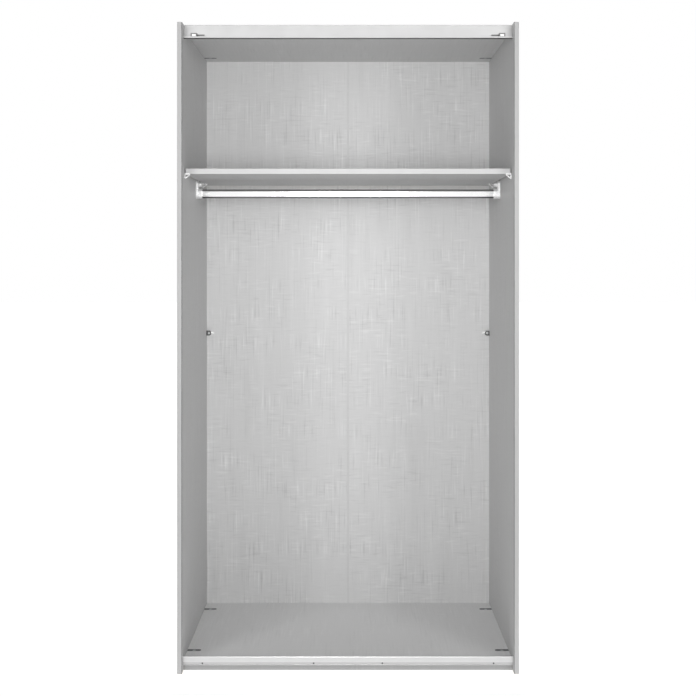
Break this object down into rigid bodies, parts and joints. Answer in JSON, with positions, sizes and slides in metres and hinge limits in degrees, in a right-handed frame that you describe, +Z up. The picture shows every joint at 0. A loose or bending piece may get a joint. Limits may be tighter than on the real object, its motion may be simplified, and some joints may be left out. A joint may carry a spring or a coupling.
{
  "type": "open sliding-door wardrobe carcass",
  "caption": "Tall open-fronted wardrobe carcass with an upper shelf, a hanging rail below it, and an upper track and lower guide for sliding doors.",
  "frame": {"origin": "on the ground, under the middle of the carcass", "axes": "+X to the right seen from the front, +Y towards the back, +Z up; the open front faces -Y"},
  "size_m": [1.1, 0.62, 2.1],
  "materials": {
    "melamine": "satin light grey melamine with a fine linen emboss on chipboard",
    "back_board": "light grey linen print on thin hardboard",
    "white_plastic": "satin extruded plastic",
    "dark_plastic": "moulded, matt",
    "aluminium": "satin anodised extrusion",
    "chrome": "bright plated",
    "steel": "nickel plated",
    "zinc": "die-cast zinc, satin"
  },
  "bodies": {
    "carcass": {"side_panel_left": "melamine", "side_panel_right": "melamine", "top_panel": "melamine", "floor_panel": "melamine", "plinth_front": "melamine", "plinth_rear": "melamine", "back_panel_left": "back_board", "back_panel_right": "back_board", "back_joint_strip": "white_plastic", "shelf_support_front_left": "steel", "shelf_support_front_right": "steel", "shelf_support_rear_left": "steel", "shelf_support_rear_right": "steel", "hanging_rail": "chrome", "rail_bracket_left": "chrome", "rail_bracket_right": "chrome", "rail_bracket_screw_left": "steel", "rail_bracket_screw_right": "steel", "back_clamp_left": "zinc", "back_clamp_right": "zinc", "back_clamp_screw_left": "steel", "back_clamp_screw_right": "steel", "top_fascia": "melamine", "top_track": "aluminium", "door_stop_left": "steel", "door_stop_right": "steel", "bottom_guide_rail": "aluminium", "guide_rail_screw_1": "steel", "guide_rail_screw_2": "steel", "guide_rail_screw_3": "steel", "guide_rail_screw_4": "steel", "connector_floor_front_left": "dark_plastic", "connector_bolt_floor_front_left": "zinc", "connector_floor_front_right": "dark_plastic", "connector_bolt_floor_front_right": "zinc", "connector_floor_rear_left": "dark_plastic", "connector_bolt_floor_rear_left": "zinc", "connector_floor_rear_right": "dark_plastic", "connector_bolt_floor_rear_right": "zinc", "connector_ceiling_front_left": "dark_plastic", "connector_bolt_ceiling_front_left": "zinc", "connector_ceiling_front_right": "dark_plastic", "connector_bolt_ceiling_front_right": "zinc", "connector_ceiling_rear_left": "dark_plastic", "connector_bolt_ceiling_rear_left": "zinc", "connector_ceiling_rear_right": "dark_plastic", "connector_bolt_ceiling_rear_right": "zinc", "glide_front_left": "dark_plastic", "glide_front_right": "dark_plastic", "glide_rear_left": "dark_plastic", "glide_rear_right": "dark_plastic"},
    "shelf": {"shelf": "melamine"},
    "cam_floor_front_left": {"connector_cam_floor_front_left": "zinc"},
    "cam_floor_front_right": {"connector_cam_floor_front_right": "zinc"},
    "cam_floor_rear_left": {"connector_cam_floor_rear_left": "zinc"},
    "cam_floor_rear_right": {"connector_cam_floor_rear_right": "zinc"},
    "cam_ceiling_front_left": {"connector_cam_ceiling_front_left": "zinc"},
    "cam_ceiling_front_right": {"connector_cam_ceiling_front_right": "zinc"},
    "cam_ceiling_rear_left": {"connector_cam_ceiling_rear_left": "zinc"},
    "cam_ceiling_rear_right": {"connector_cam_ceiling_rear_right": "zinc"}
  },
  "joints": [
    {"name": "shelf_lift", "type": "slide", "parent": "carcass", "child": "shelf", "axis": [0, 0, 1], "range_m": [0, 0.4]},
    {"name": "cam_turn_floor_front_left", "type": "hinge", "parent": "carcass", "child": "cam_floor_front_left", "pos_m": [-0.511, -0.195, 0.038], "axis": [0, 0, 1], "range_deg": [-165, 0]},
    {"name": "cam_turn_floor_front_right", "type": "hinge", "parent": "carcass", "child": "cam_floor_front_right", "pos_m": [0.511, -0.195, 0.038], "axis": [0, 0, 1], "range_deg": [-165, 0]},
    {"name": "cam_turn_floor_rear_left", "type": "hinge", "parent": "carcass", "child": "cam_floor_rear_left", "pos_m": [-0.511, 0.22, 0.038], "axis": [0, 0, 1], "range_deg": [-165, 0]},
    {"name": "cam_turn_floor_rear_right", "type": "hinge", "parent": "carcass", "child": "cam_floor_rear_right", "pos_m": [0.511, 0.22, 0.038], "axis": [0, 0, 1], "range_deg": [-165, 0]},
    {"name": "cam_turn_ceiling_front_left", "type": "hinge", "parent": "carcass", "child": "cam_ceiling_front_left", "pos_m": [-0.511, -0.195, 2.084], "axis": [0, 0, -1], "range_deg": [-165, 0]},
    {"name": "cam_turn_ceiling_front_right", "type": "hinge", "parent": "carcass", "child": "cam_ceiling_front_right", "pos_m": [0.511, -0.195, 2.084], "axis": [0, 0, -1], "range_deg": [-165, 0]},
    {"name": "cam_turn_ceiling_rear_left", "type": "hinge", "parent": "carcass", "child": "cam_ceiling_rear_left", "pos_m": [-0.511, 0.22, 2.084], "axis": [0, 0, -1], "range_deg": [-165, 0]},
    {"name": "cam_turn_ceiling_rear_right", "type": "hinge", "parent": "carcass", "child": "cam_ceiling_rear_right", "pos_m": [0.511, 0.22, 2.084], "axis": [0, 0, -1], "range_deg": [-165, 0]}
  ]
}
